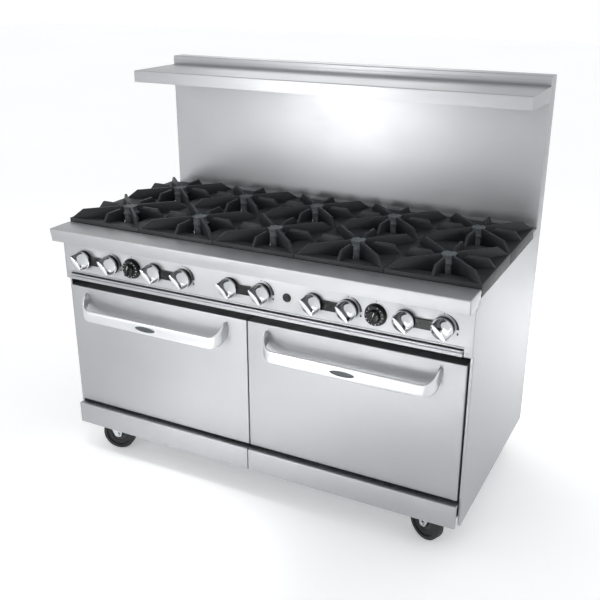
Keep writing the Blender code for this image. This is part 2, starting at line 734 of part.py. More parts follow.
def caster_wheel(name):
    """Turned wheel about its axle, along Y, standing on a flat between two of its edges."""
    outer = WHEEL_RADIUS / math.cos(math.pi / WHEEL_SIDES)
    half = WHEEL_WIDTH / 2
    bore, hub = 0.0060, 0.016
    profile = [
        (bore, half),
        (hub, half),
        (hub + 0.004, half - 0.004),
        (outer - 0.016, half - 0.004),
        (outer - 0.004, half),
        (outer, half - 0.004),
    ]
    profile += [(r, -y) for r, y in profile[::-1]]
    bm = bmesh.new()
    points = [bm.verts.new((r, y, 0)) for r, y in profile]
    for pair in zip(points, points[1:] + points[:1]):
        bm.edges.new(pair)
    mesh = bpy.data.meshes.new("wheel_profile")
    bm.to_mesh(mesh)
    bm.free()
    wheel = bpy.data.objects.new("wheel", mesh)
    CUTTERS.objects.link(wheel)
    spin = wheel.modifiers.new("turn", "SCREW")
    spin.axis = "Y"
    spin.steps = WHEEL_SIDES
    spin.render_steps = WHEEL_SIDES
    spin.use_merge_vertices = True
    spin.merge_threshold = 0.00001
    settle(wheel)
    bm = bmesh.new()
    bm.from_mesh(wheel.data)
    bmesh.ops.rotate(bm, verts=bm.verts, matrix=Matrix.Rotation(math.pi / WHEEL_SIDES, 3, "Y"))
    bmesh.ops.recalc_face_normals(bm, faces=bm.faces)
    bm.to_mesh(wheel.data)
    bm.free()
    return part(wheel, name, "rubber", smooth=True)


def caster_brake(name):
    """Brake pedal about its pivot: two arms outside the fork joined by a foot plate over the wheel's rear."""
    inner = FORK_INNER + FORK_PLATE + 0.0008
    outer = inner + 0.0025
    pieces = []
    for side in (-1, 1):
        arm = block((-0.008, 0.048), sorted((side * inner, side * outer)), (-0.005, 0.005))
        eye = rod((0, side * (inner - 0.005), 0), (0, side * (outer + 0.005), 0), 0.0034, 8)
        pieces.append(carve(arm, eye))
    foot = block((0.030, 0.048), (-outer, outer), (0.0, 0.004))
    return part(fuse(*pieces, foot), name, "zinc")


def casters():
    """Four swivel casters, the front two with brakes, each turned to its own swivel position."""
    wheel = plain = braked = brake = None
    for word, (x, y, heading) in CASTERS.items():
        turn = math.radians(heading)
        along = Vector((math.cos(turn), math.sin(turn), 0))
        front = word.startswith("front")
        hub = Vector((x, y, WHEEL_RADIUS)) + CASTER_TRAIL * along
        if front:
            braked = braked or caster_fork("caster_front_left_fork", True)
            brake = brake or caster_brake("caster_front_left_brake")
            pivot = Vector((x, y, BRAKE_PIVOT[1])) + BRAKE_PIVOT[0] * along
            set_down(brake, f"caster_{word}_brake", pivot, turn)
        else:
            plain = plain or caster_fork("caster_rear_left_fork", False)
        wheel = wheel or caster_wheel("caster_front_left_wheel")
        set_down(braked if front else plain, f"caster_{word}_fork", (x, y, 0), turn)
        set_down(wheel, f"caster_{word}_wheel", hub, turn)


def set_down(pattern, name, location, turn):
    """Places the pattern itself if it has that name, or else a copy of it."""
    if pattern.name == name:
        pattern.location = location
        pattern.rotation_euler = (0, 0, turn)
    else:
        copy_of(pattern, name, location, turn)


# ---------------------------------------------------------------- the whole range
side_panel(-1, "side_panel_left")
side_panel(1, "side_panel_right")
back_panel()
base_frame()
kick_plate(-0.752, -0.001, "kick_plate_left")
kick_plate(0.001, 0.752, "kick_plate_right")
control_panel()
front_ledge()
back_riser()
high_shelf()
gas_manifold()
burner_frame()
cooktop()
for hand, word in ((-1, "left"), (1, "right")):
    oven_liner(hand, f"oven_liner_{word}")
    oven_rack(hand, f"oven_rack_{word}")
    oven_door(hand, word)
crumb_tray()
knobs()
casters()
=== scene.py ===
import json
import math

import bmesh
import bpy
from mathutils import Matrix, Vector


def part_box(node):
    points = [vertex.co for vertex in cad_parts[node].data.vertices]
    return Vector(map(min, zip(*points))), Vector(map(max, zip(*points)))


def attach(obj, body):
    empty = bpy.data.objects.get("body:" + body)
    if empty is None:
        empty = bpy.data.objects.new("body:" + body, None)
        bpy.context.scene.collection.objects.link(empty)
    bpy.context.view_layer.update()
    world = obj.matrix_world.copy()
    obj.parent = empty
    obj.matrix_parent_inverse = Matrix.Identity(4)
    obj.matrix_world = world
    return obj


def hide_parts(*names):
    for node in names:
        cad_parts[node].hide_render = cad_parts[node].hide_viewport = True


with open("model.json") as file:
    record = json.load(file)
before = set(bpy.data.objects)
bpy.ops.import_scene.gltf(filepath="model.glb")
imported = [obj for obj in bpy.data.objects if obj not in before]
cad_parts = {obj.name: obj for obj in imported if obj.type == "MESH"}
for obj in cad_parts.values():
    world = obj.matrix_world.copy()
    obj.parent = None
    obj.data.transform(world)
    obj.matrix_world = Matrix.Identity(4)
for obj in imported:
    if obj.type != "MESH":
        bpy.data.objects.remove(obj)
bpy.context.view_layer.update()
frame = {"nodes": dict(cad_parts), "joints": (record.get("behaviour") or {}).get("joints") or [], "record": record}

MM = 0.001

# ---------------------------------------------------------------- where the pieces go, in metres
LEDGE_LOW, LEDGE_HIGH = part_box("front_ledge")
PANEL_LOW, PANEL_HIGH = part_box("control_panel")
RISER_LOW, RISER_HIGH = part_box("back_riser")
SHELF_LOW, SHELF_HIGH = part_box("high_shelf")
HALF = PANEL_HIGH.x
PANEL_FACE = PANEL_LOW.y
KNOBS = {name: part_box(name) for name in frame["nodes"] if name.startswith("burner_knob")}
KNOB_HEIGHT = (KNOBS["burner_knob_1"][0].z + KNOBS["burner_knob_1"][1].z) / 2
RISER_FACE = SHELF_HIGH.y


def middle(node):
    """The middle of a CAD node's box."""
    low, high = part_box(node)
    return (low + high) / 2


# ---------------------------------------------------------------- materials
def colour(text):
    """An sRGB hex colour as linear RGBA."""
    values = [int(text[i : i + 2], 16) / 255 for i in (1, 3, 5)]
    return (*[v / 12.92 if v <= 0.04045 else ((v + 0.055) / 1.055) ** 2.4 for v in values], 1.0)


def add(tree, kind, inputs=None, **settings):
    """A node with its settings, and with each input either linked to a socket or set to a value."""
    node = tree.nodes.new("ShaderNode" + kind)
    for key, value in settings.items():
        setattr(node, key, value)
    for key, value in (inputs or {}).items():
        if isinstance(value, bpy.types.NodeSocket):
            tree.links.new(value, node.inputs[key])
        else:
            node.inputs[key].default_value = value
    return node


def start(name):
    """A new material: its node tree, its shader and the piece's own coordinates."""
    material = bpy.data.materials.new(name)
    material.use_nodes = True
    tree = material.node_tree
    shader = tree.nodes["Principled BSDF"]
    place = add(tree, "TexCoord").outputs["Object"]
    return material, tree, shader, place


def plug(tree, shader, inputs):
    """Links or sets the shader's own inputs."""
    for key, value in inputs.items():
        if isinstance(value, bpy.types.NodeSocket):
            tree.links.new(value, shader.inputs[key])
        else:
            shader.inputs[key].default_value = value


def steel(name, tint, pale, grain, rough=(0.38, 0.48), lines=0.10):
    """Sheet stainless with a fine brushed finish: long faint lines along the grain that break the gloss, and the
    soft smudges that wiping leaves. The lines are drawn 1.5 mm apart, coarser than the real 0.1 mm, to show."""
    material, tree, shader, place = start(name)
    long_way = [1 / (1.5 * MM)] * 3
    long_way["XYZ".index(grain)] = 1 / (180 * MM)
    stretched = add(tree, "Mapping", {"Vector": place, "Scale": long_way})
    brush = add(tree, "TexNoise", {"Vector": stretched.outputs[0], "Scale": 1.0, "Detail": 3.0, "Roughness": 0.6})
    smudge = add(tree, "TexNoise", {"Vector": place, "Scale": 1 / (170 * MM), "Detail": 3.0})
    both = add(
        tree,
        "Mix",
        {"Factor": 0.45, "A": brush.outputs["Fac"], "B": smudge.outputs["Fac"]},
        data_type="FLOAT",
    )
    gloss = add(tree, "MapRange", {"Value": both.outputs[0], "From Min": 0.3, "From Max": 0.7})
    gloss.inputs["To Min"].default_value, gloss.inputs["To Max"].default_value = rough
    shade = add(tree, "Mix", {"Factor": both.outputs[0], "A": colour(tint), "B": colour(pale)}, data_type="RGBA")
    relief = add(
        tree, "Bump", {"Height": brush.outputs["Fac"], "Strength": lines, "Distance": 0.02 * MM}
    )
    plug(
        tree,
        shader,
        {
            "Base Color": shade.outputs["Result"],
            "Metallic": 1.0,
            "Roughness": gloss.outputs[0],
            "Normal": relief.outputs[0],
        },
    )
    return material


def grainy(name, dark, light, grain, rough, depth, metallic=0.0, cells=False, specular=0.5):
    """A surface of two close shades in grains of one size, with the same grains as relief and in the gloss."""
    material, tree, shader, place = start(name)
    if cells:
        pattern = add(tree, "TexVoronoi", {"Vector": place, "Scale": 1 / grain, "Randomness": 1.0})
        fine = pattern.outputs["Distance"]
    else:
        pattern = add(tree, "TexNoise", {"Vector": place, "Scale": 1 / grain, "Detail": 4.0, "Roughness": 0.6})
        fine = pattern.outputs["Fac"]
    patches = add(tree, "TexNoise", {"Vector": place, "Scale": 1 / (28 * grain), "Detail": 2.0})
    both = add(tree, "Mix", {"Factor": 0.4, "A": fine, "B": patches.outputs["Fac"]}, data_type="FLOAT")
    spread = add(tree, "MapRange", {"Value": both.outputs[0], "From Min": 0.25, "From Max": 0.75})
    shade = add(tree, "Mix", {"Factor": spread.outputs[0], "A": colour(dark), "B": colour(light)}, data_type="RGBA")
    gloss = add(tree, "MapRange", {"Value": both.outputs[0], "From Min": 0.3, "From Max": 0.7})
    gloss.inputs["To Min"].default_value, gloss.inputs["To Max"].default_value = rough
    relief = add(tree, "Bump", {"Height": fine, "Strength": 0.6, "Distance": depth})
    plug(
        tree,
        shader,
        {
            "Base Color": shade.outputs["Result"],
            "Metallic": metallic,
            "Roughness": gloss.outputs[0],
            "Normal": relief.outputs[0],
            "Specular IOR Level": specular,
        },
    )
    return material


# stainless sheet, number 4 brushed: an even satin that holds soft light; the grain runs with the sheet's length
STEEL = steel("stainless_brushed_across", "#a4a5a8", "#b3b4b6", "X")
STEEL_UP = steel("stainless_brushed_upright", "#a4a5a8", "#b3b4b6", "Z")
# stainless bar, finely polished, a little brighter than the sheet
STEEL_BAR = steel("stainless_polished_bar", "#cfd0d3", "#e0e1e3", "X", rough=(0.26, 0.34), lines=0.05)
# die-cast zinc, chromium plated: a near mirror with faint polishing haze
CHROME = grainy("chrome_plated_casting", "#d4d6d8", "#e4e6e8", 9 * MM, (0.05, 0.12), 0.01 * MM, metallic=1.0)
# grey iron casting, seasoned black: sand-cast grain about 1 mm across, dull with a slight sheen on the high spots
IRON = grainy("cast_iron_seasoned", "#121516", "#272c2e", 1.4 * MM, (0.42, 0.66), 0.35 * MM, specular=0.42)
# the burner heads' iron, burnt to a paler grey by the flame
BURNT_IRON = grainy("cast_iron_burnt_grey", "#4a5053", "#6d7376", 1.6 * MM, (0.55, 0.75), 0.3 * MM)
# stove enamel over steel, fired: dark, wet-looking, with fine pale specks
ENAMEL = grainy("porcelain_enamel_speckled", "#15171b", "#3a3f47", 1.8 * MM, (0.12, 0.2), 0.03 * MM, cells=True)
# black heat-proof paint on steel sections: slightly orange-peeled
BLACK_PAINT = grainy("black_heat_proof_paint", "#0b0c0d", "#191b1c", 2.2 * MM, (0.34, 0.48), 0.08 * MM)
# phenolic plastic, moulded black: smooth with a fine mould grain
PLASTIC = grainy("phenolic_moulded_black", "#060708", "#101112", 1.2 * MM, (0.22, 0.34), 0.02 * MM, specular=0.3)
# screen-printed ink, black and white: flat and thin
INK = grainy("screen_print_ink_black", "#101112", "#1c1d1e", 1.0 * MM, (0.5, 0.6), 0.01 * MM)
PALE_INK = grainy("screen_print_ink_white", "#d9dbdc", "#f0f1f1", 1.0 * MM, (0.5, 0.6), 0.01 * MM)
# zinc-coated sheet: crystals of spangle about 9 mm across in slightly different greys
GALVANISED = grainy("galvanised_sheet", "#8f9396", "#b7bbbe", 9 * MM, (0.34, 0.5), 0.02 * MM, 0.9, cells=True)
# bright zinc plating on pressed steel: pale, slightly cloudy
ZINC = grainy("zinc_plated_steel", "#b4b8bb", "#d3d6d8", 6 * MM, (0.2, 0.34), 0.02 * MM, metallic=1.0)
# vulcanised rubber tyre and its nylon centre
RUBBER = grainy("rubber_tread_black", "#0e0f10", "#1d1f20", 1.2 * MM, (0.5, 0.7), 0.1 * MM)
NYLON = grainy("nylon_wheel_centre", "#26292b", "#33373a", 1.5 * MM, (0.35, 0.5), 0.04 * MM)
# enamelled badge: dark grey field in a bright rim
BADGE = grainy("badge_enamel_grey", "#2c3134", "#464c50", 1.5 * MM, (0.18, 0.28), 0.01 * MM)

CAD_FINISH = {
    "stainless": STEEL,
    "chrome": CHROME,
    "cast_iron": IRON,
    "black_enamel": BLACK_PAINT,
    "black_plastic": PLASTIC,
    "oven_enamel": ENAMEL,
    "galvanised": GALVANISED,
    "zinc": ZINC,
    "rubber": RUBBER,
    "wire": CHROME,
}
for row in frame["record"]["subparts"]:
    slots = frame["nodes"][row["node"]].material_slots
    for each in slots:
        each.material = CAD_FINISH[row["material_slot"]]


# ---------------------------------------------------------------- modelling helpers
def rest():
    """Leaves edit mode with nothing selected."""
    if bpy.context.object and bpy.context.object.mode != "OBJECT":
        bpy.ops.object.mode_set(mode="OBJECT")
    bpy.ops.object.select_all(action="DESELECT")


def hold(obj):
    """Makes this the one selected and active object."""
    rest()
    obj.select_set(True)
    bpy.context.view_layer.objects.active = obj


def edit(obj):
    hold(obj)
    bpy.ops.object.mode_set(mode="EDIT")


def pick(kind, test):
    """Selects, in edit mode, only the vertices, edges or faces that pass the test."""
    obj = bpy.context.object
    bpy.ops.mesh.select_all(action="DESELECT")
    bpy.ops.mesh.select_mode(type=kind)
    mesh = bmesh.from_edit_mesh(obj.data)
    for item in {"VERT": mesh.verts, "EDGE": mesh.edges, "FACE": mesh.faces}[kind]:
        item.select_set(bool(test(item)))
    bmesh.update_edit_mesh(obj.data)


def settle():
    """Puts the new object at the origin, with its place in its mesh."""
    bpy.ops.object.transform_apply(location=True, rotation=True, scale=True)
    return bpy.context.object


def cube(low, high):
    rest()
    low, high = Vector(low), Vector(high)
    bpy.ops.mesh.primitive_cube_add(size=1, location=(low + high) / 2, scale=high - low)
    return settle()


def drum(base, tip, radius, sides=32, tip_radius=None):
    rest()
    base, tip = Vector(base), Vector(tip)
    bpy.ops.mesh.primitive_cone_add(
        vertices=sides,
        radius1=radius,
        radius2=radius if tip_radius is None else tip_radius,
        depth=(tip - base).length,
        location=(base + tip) / 2,
        rotation=(tip - base).to_track_quat("Z", "Y").to_euler(),
    )
    return settle()


def modify(obj, kind, **settings):
    """Adds a modifier with its settings and applies it."""
    hold(obj)
    modifier = obj.modifiers.new(kind.lower(), kind)
    for key, value in settings.items():
        setattr(modifier, key, value)
    bpy.ops.object.modifier_apply(modifier=modifier.name)
    return obj


def soften(obj, width, segments=2, angle=40):
    """Rounds the piece's sharp edges."""
    return modify(
        obj,
        "BEVEL",
        width=width,
        segments=segments,
        limit_method="ANGLE",
        angle_limit=math.radians(angle),
        use_clamp_overlap=True,
    )


def combine(base, others, operation):
    """Joins other solids to the base, or cuts them from it."""
    for other in others:
        modify(base, "BOOLEAN", operation=operation, object=other, solver="EXACT")
        bpy.data.objects.remove(other)
    return base


def join(pieces):
    """Several loose solids as one object."""
    hold(pieces[0])
    for piece in pieces[1:]:
        piece.select_set(True)
    bpy.ops.object.join()
    return bpy.context.object


def copy(pattern, matrix):
    """Another of the same piece, with its own mesh moved to its place."""
    new = pattern.copy()
    new.data = pattern.data.copy()
    bpy.context.scene.collection.objects.link(new)
    new.data.transform(matrix)
    return new


def finish(obj, name, body, material, replaces=(), sharp=35):
    """Names the piece, gives it its finish, and sets it on its body."""
    hold(obj)
    obj.name = name
    obj.data.name = name
    obj.data.materials.clear()
    obj.data.materials.append(material)
    bpy.ops.object.shade_smooth_by_angle(angle=math.radians(sharp))
    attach(obj, body)
    if replaces:
        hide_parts(*replaces)
    return obj


def pressing(low, high, open_sides, bend, sheet=1.5 * MM):
    """A box folded from sheet: some sides left open, the folds rounded, the sheet inside the given size."""
    obj = cube(low, high)
    edit(obj)
    towards = {"-X": (-1, 0, 0), "X": (1, 0, 0), "-Y": (0, -1, 0), "Y": (0, 1, 0), "-Z": (0, 0, -1), "Z": (0, 0, 1)}
    gone = [Vector(towards[side]) for side in open_sides]
    pick("FACE", lambda face: any(face.normal.dot(way) > 0.9 for way in gone))
    bpy.ops.mesh.delete(type="FACE")
    pick("EDGE", lambda edge: not edge.is_boundary)
    bpy.ops.mesh.bevel(offset=bend, segments=4, affect="EDGES")
    rest()
    return modify(obj, "SOLIDIFY", thickness=sheet, offset=-1.0, use_even_offset=True)


# ---------------------------------------------------------------- cabinet sheets
BEND = 3.5 * MM

# landing ledge: the lip's foot is pulled back a little
ledge = pressing(
    (-HALF, LEDGE_LOW.y, LEDGE_LOW.z), (HALF, LEDGE_HIGH.y, LEDGE_HIGH.z), ["-Z"], BEND
)
edit(ledge)
pick("VERT", lambda v: v.co.z < LEDGE_LOW.z + 2 * MM and v.co.y < LEDGE_LOW.y + 8 * MM)
bpy.ops.transform.translate(value=(0, 7 * MM, 0))
finish(ledge, "ledge_sheet", "range", STEEL, ["front_ledge"])

# control panel with the tray's slot cut from its lower edge
tray_low, tray_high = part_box("crumb_tray")
slot_half = tray_high.x + 2.5 * MM
slot_top = tray_high.z + 3 * MM
panel = pressing((-HALF, PANEL_FACE, PANEL_LOW.z), (HALF, PANEL_HIGH.y, PANEL_HIGH.z), ["Y"], 2.5 * MM)
slot_cut = cube((-slot_half, PANEL_FACE - 0.01, PANEL_LOW.z - 0.01), (slot_half, PANEL_HIGH.y + 0.01, slot_top))
panel = combine(panel, [slot_cut], "DIFFERENCE")
finish(panel, "panel_sheet", "range", STEEL, ["control_panel"])

# folded trim over the tray's slot
trim = cube(
    (-slot_half, PANEL_FACE - 2.0 * MM, slot_top + 1.0 * MM), (slot_half, PANEL_FACE + 0.2 * MM, slot_top + 6.5 * MM)
)
finish(soften(trim, 0.8 * MM, 3), "tray_slot_trim", "range", STEEL)

# the crumb tray's front: two flats with a groove between them
tray_face = tray_low.y - 0.3 * MM
flats = [
    cube((-tray_high.x, tray_face, z - half), (tray_high.x, tray_face + 1.2 * MM, z + half))
    for z, half in ((0.7215, 5.6 * MM), (0.7325, 3.2 * MM))
]
for flat in flats:
    soften(flat, 0.9 * MM, 3)
finish(join(flats), "tray_front", "crumb_tray", STEEL)

# sill under the doors
for side, sign in (("left", -1), ("right", 1)):
    sill = cube((min(sign * 0.752, sign * 0.001), -0.3712, 0.1965), (max(sign * 0.752, sign * 0.001), -0.3187, 0.1995))
    finish(soften(sill, 0.5 * MM), f"door_sill_{side}", "range", GALVANISED)

# kick plates, one under each door
for side in ("left", "right"):
    low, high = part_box(f"kick_plate_{side}")
    plate = pressing(low, high, ["Y"], BEND)
    finish(plate, f"kick_plate_{side}_sheet", "range", STEEL, [f"kick_plate_{side}"])

# side sheets with a narrow return front and rear
for side, sign in (("left", -1), ("right", 1)):
    low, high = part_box(f"side_panel_{side}")
    inner = sign * (HALF - 9 * MM)
    outer = sign * HALF
    sheet = pressing(
        (min(inner, outer), low.y, low.z),
        (max(inner, outer), high.y, high.z),
        ["X" if side == "left" else "-X", "Z", "-Z"],
        2.5 * MM,
    )
    finish(sheet, f"side_{side}_sheet", "range", STEEL_UP, [f"side_panel_{side}"])
    # the crumb tray's runner
    edge = sign * tray_high.x
    runner = cube(
        (min(edge - sign * 12 * MM, outer - sign * 2 * MM), -0.315, tray_low.z - 3.4 * MM),
        (max(edge - sign * 12 * MM, outer - sign * 2 * MM), 0.275, tray_low.z - 0.6 * MM),
    )
    finish(soften(runner, 0.6 * MM), f"tray_runner_{side}", "range", GALVANISED)

# riser: a hollow folded sheet, open below as the flue, with a low step behind the grates
riser = pressing((-HALF, RISER_FACE + 0.3 * MM, RISER_LOW.z), (HALF, RISER_HIGH.y, RISER_HIGH.z), ["-Z"], BEND)
finish(riser, "riser_sheet", "range", STEEL, ["back_riser"])
step = pressing(
    (-HALF, RISER_LOW.y, RISER_LOW.z), (HALF, RISER_FACE - 0.3 * MM, 0.912), ["-Z", "Y"], 2.5 * MM
)
finish(step, "flue_step", "range", STEEL)
hem = cube((-HALF + 2 * MM, RISER_FACE - 2.2 * MM, 0.9125), (HALF - 2 * MM, RISER_FACE + 0.1 * MM, 0.922))
finish(soften(hem, 0.9 * MM, 3), "riser_foot_hem", "range", STEEL)

# high shelf with its lip, its hem on the riser and its end gussets
shelf_top = SHELF_HIGH.z - 18 * MM
shelf_lip = 43 * MM
shelf = pressing(
    (-HALF, SHELF_LOW.y, shelf_top - shelf_lip), (HALF, RISER_FACE - 0.3 * MM, shelf_top), ["-Z", "Y"], BEND
)
edit(shelf)
pick("VERT", lambda v: v.co.z < shelf_top - shelf_lip + 1 * MM and v.co.y > RISER_FACE - 5 * MM)
bpy.ops.transform.translate(value=(0, 0, -10 * MM))
finish(shelf, "shelf_sheet", "range", STEEL, ["high_shelf"])
upturn = cube(
    (-HALF + 2 * MM, RISER_FACE - 2.0 * MM, shelf_top - 0.5 * MM),
    (HALF - 2 * MM, RISER_FACE - 0.3 * MM, SHELF_HIGH.z),
)
finish(soften(upturn, 0.7 * MM), "shelf_upturn", "range", STEEL)

# ---------------------------------------------------------------- doors
for side in ("left", "right"):
    low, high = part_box(f"door_{side}_panel")
    skin = pressing(low, high, ["Y"], BEND)
    body = f"oven_door_{side}"
    finish(skin, f"door_{side}_skin", body, STEEL, [f"door_{side}_panel"])

# a handle about the door's middle: a crowned strip swept along the handle's path
handle_low, handle_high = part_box("door_left_handle")
HANDLE_HALF = (handle_high.x - handle_low.x) / 2
HANDLE_FRONT = handle_low.y
HANDLE_ROOT = handle_high.y
HANDLE_TALL = 42 * MM
HANDLE_THICK = 9 * MM
HANDLE_LOW = handle_low.z + HANDLE_TALL / 2
HANDLE_RISE = handle_high.z - HANDLE_TALL / 2 - HANDLE_LOW


def sweep(points, section):
    """A closed outline carried along a path of points, kept upright."""
    rest()
    bpy.ops.curve.primitive_bezier_circle_add()
    outline = bpy.context.object
    outline.data.splines.clear()
    ring = outline.data.splines.new("POLY")
    ring.points.add(len(section) - 1)
    for point, (x, y) in zip(ring.points, section):
        point.co = (x, y, 0, 1)
    ring.use_cyclic_u = True
    rest()
    bpy.ops.curve.primitive_bezier_curve_add()
    path = bpy.context.object
    path.data.splines.clear()
    line = path.data.splines.new("POLY")
    line.points.add(len(points) - 1)
    for point, place in zip(line.points, points):
        point.co = (*place, 1)
    path.data.dimensions = "3D"
    path.data.twist_mode = "Z_UP"
    path.data.bevel_mode = "OBJECT"
    path.data.bevel_object = outline
    path.data.use_fill_caps = True
    hold(path)
    path.location = (0, 0, 0)
    bpy.ops.object.convert(target="MESH")
    edit(path)
    bpy.ops.mesh.select_all(action="SELECT")
    bpy.ops.mesh.remove_doubles(threshold=0.00002)
    bpy.ops.mesh.normals_make_consistent(inside=False)
    rest()
    bpy.data.objects.remove(outline)
    return path


def handle_path():
    """From the left foot on the door, round its corner, along the bar and back to the right foot."""
    corner, steps = 46 * MM, 10
    bar = HANDLE_FRONT + HANDLE_THICK / 2
    half = HANDLE_HALF - HANDLE_THICK / 2
    right = []
    for i in range(steps + 1):
        angle = math.radians(90 * i / steps)
        climb = (1 - math.sin(angle)) ** 1.3
        right.append((half - corner * (1 - math.cos(angle)), bar + corner * (1 - math.sin(angle)), climb))
    right.insert(0, (half + 1 * MM, HANDLE_ROOT, 1.12))
    path = right + [(x, right[-1][1], 0) for x in (half * 0.5, 0.0)]
    path += [(-x, y, z) for x, y, z in path[-2::-1]]
    return [(x, y, HANDLE_LOW + HANDLE_RISE * z * 0.88) for x, y, z in path]


crown = [
    (math.copysign(abs(math.cos(a)) ** 0.45, math.cos(a)), math.copysign(abs(math.sin(a)) ** 0.75, math.sin(a)))
    for a in [math.tau * i / 28 for i in range(28)]
]
section = [(y * HANDLE_THICK / 2, x * HANDLE_TALL / 2) for x, y in crown]
handle_pattern = sweep(handle_path(), section)
soften(handle_pattern, 0.8 * MM, 2, 60)

badge_rim = drum((0, HANDLE_FRONT + 1 * MM, HANDLE_LOW), (0, HANDLE_FRONT - 0.8 * MM, HANDLE_LOW), 11 * MM, 48)
edit(badge_rim)
bpy.ops.mesh.select_all(action="SELECT")
bpy.ops.transform.resize(value=(4.0, 1, 1), center_override=(0, HANDLE_FRONT, HANDLE_LOW))
pick("FACE", lambda face: face.normal.y < -0.9)
bpy.ops.mesh.inset(thickness=1.4 * MM, depth=0)
bpy.ops.mesh.extrude_region_move(TRANSFORM_OT_translate={"value": (0, 0.5 * MM, 0)})
rest()
badge_field = drum(
    (0, HANDLE_FRONT + 0.5 * MM, HANDLE_LOW), (0, HANDLE_FRONT - 0.45 * MM, HANDLE_LOW), 9.7 * MM, 48
)
edit(badge_field)
bpy.ops.mesh.select_all(action="SELECT")
bpy.ops.transform.resize(value=(4.38, 1, 1), center_override=(0, HANDLE_FRONT, HANDLE_LOW))
pick("FACE", lambda face: face.normal.y < -0.9)
bpy.ops.mesh.inset(thickness=2.5 * MM, depth=0.25 * MM)
rest()

for side in ("left", "right"):
    offset = Matrix.Translation((middle(f"door_{side}_handle").x, 0, 0))
    body = f"oven_door_{side}"
    finish(copy(handle_pattern, offset), f"door_{side}_bar", body, STEEL_BAR, [f"door_{side}_handle"], 40)
    finish(copy(badge_rim, offset), f"door_{side}_badge_rim", body, CHROME)
    finish(copy(badge_field, offset), f"door_{side}_badge_field", body, BADGE)
for pattern in (handle_pattern, badge_rim, badge_field):
    bpy.data.objects.remove(pattern)

# ---------------------------------------------------------------- grates
GRATE_LOW, GRATE_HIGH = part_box("grate_front_3")
GRATE_MIDDLE = (GRATE_LOW + GRATE_HIGH) / 2
SPAN_X, SPAN_Y = GRATE_HIGH.x - GRATE_MIDDLE.x, GRATE_HIGH.y - GRATE_MIDDLE.y
RIM_TOP = GRATE_LOW.z + 39 * MM
RIB_TOP = GRATE_HIGH.z


def rib(inner, outer, low, drop_in, slope_in, slope_out, thick, turn):
    """An upright plate from one radius to another, its top edge sloped at each end, turned about Z."""
    plate = cube((inner, -thick / 2, low), (outer, thick / 2, RIB_TOP))
    edit(plate)
    pick(
        "EDGE",
        lambda edge: all(v.co.z > RIB_TOP - MM for v in edge.verts)
        and abs(edge.verts[0].co.x - edge.verts[1].co.x) > MM,
    )
    bpy.ops.mesh.subdivide(number_cuts=2)
    third = (outer - inner) / 3
    pick("VERT", lambda v: v.co.z > RIB_TOP - MM and abs(v.co.x - inner - third) < MM)
    bpy.ops.transform.translate(value=(slope_in - third, 0, 0))
    pick("VERT", lambda v: v.co.z > RIB_TOP - MM and abs(v.co.x - outer + third) < MM)
    bpy.ops.transform.translate(value=(third - slope_out, 0, 0))
    pick("VERT", lambda v: v.co.z > RIB_TOP - MM and v.co.x > outer - MM)
    bpy.ops.transform.translate(value=(0, 0, RIM_TOP - 2 * MM - RIB_TOP))
    pick("VERT", lambda v: v.co.z > RIB_TOP - MM and v.co.x < inner + MM)
    bpy.ops.transform.translate(value=(0, 0, -drop_in))
    rest()
    soften(plate, 1.3 * MM, 2, 30)
    plate.data.transform(Matrix.Rotation(turn, 4, "Z"))
    return plate


def make_grate():
    """A cast grate about its own middle: a square plate that dishes down to a throat, and eight ribs on it."""
    dish = cube((-SPAN_X, -SPAN_Y, GRATE_LOW.z), (SPAN_X, SPAN_Y, RIM_TOP))
    edit(dish)
    pick("FACE", lambda face: face.normal.z > 0.9)
    bpy.ops.mesh.inset(thickness=5 * MM, depth=0)
    bpy.ops.mesh.inset(thickness=60 * MM, depth=0)
    bpy.ops.transform.translate(value=(0, 0, -9 * MM))
    bpy.ops.mesh.inset(thickness=32 * MM, depth=0)
    bpy.ops.transform.translate(value=(0, 0, -16 * MM))
    pick("FACE", lambda face: face.normal.z < -0.9)
    bpy.ops.mesh.inset(thickness=5 * MM, depth=0)
    bpy.ops.mesh.inset(thickness=40 * MM, depth=0)
    bpy.ops.transform.translate(value=(0, 0, 22 * MM))
    bpy.ops.mesh.inset(thickness=45 * MM, depth=0)
    bpy.ops.transform.translate(value=(0, 0, -16 * MM))
    rest()
    throat = drum((0, 0, GRATE_LOW.z - 0.01), (0, 0, RIM_TOP), 50 * MM, 40)
    dish = combine(dish, [throat], "DIFFERENCE")
    soften(dish, 1.2 * MM, 2, 25)
    ribs = []
    corner = math.hypot(SPAN_X, SPAN_Y) - 7 * MM
    lean = math.atan2(SPAN_Y, SPAN_X)
    low = GRATE_LOW.z + 8 * MM
    for turn in (lean, math.pi - lean, math.pi + lean, -lean):
        ribs.append(rib(26 * MM, corner, low, 0.5 * MM, 20 * MM, 42 * MM, 9 * MM, turn))
    for turn, reach in ((0, SPAN_X), (math.pi, SPAN_X), (math.pi / 2, SPAN_Y), (-math.pi / 2, SPAN_Y)):
        ribs.append(rib(46 * MM, reach - 4 * MM, low, 12 * MM, 14 * MM, 24 * MM, 9 * MM, turn))
    return combine(dish, ribs, "UNION")


grate_pattern = make_grate()
for word in ("front", "rear"):
    for i in range(1, 6):
        node = f"grate_{word}_{i}"
        centre = middle(node)
        place = Matrix.Translation((centre.x, centre.y, 0))
        finish(copy(grate_pattern, place), f"{node}_casting", "range", IRON, [node], 30)
bpy.data.objects.remove(grate_pattern)


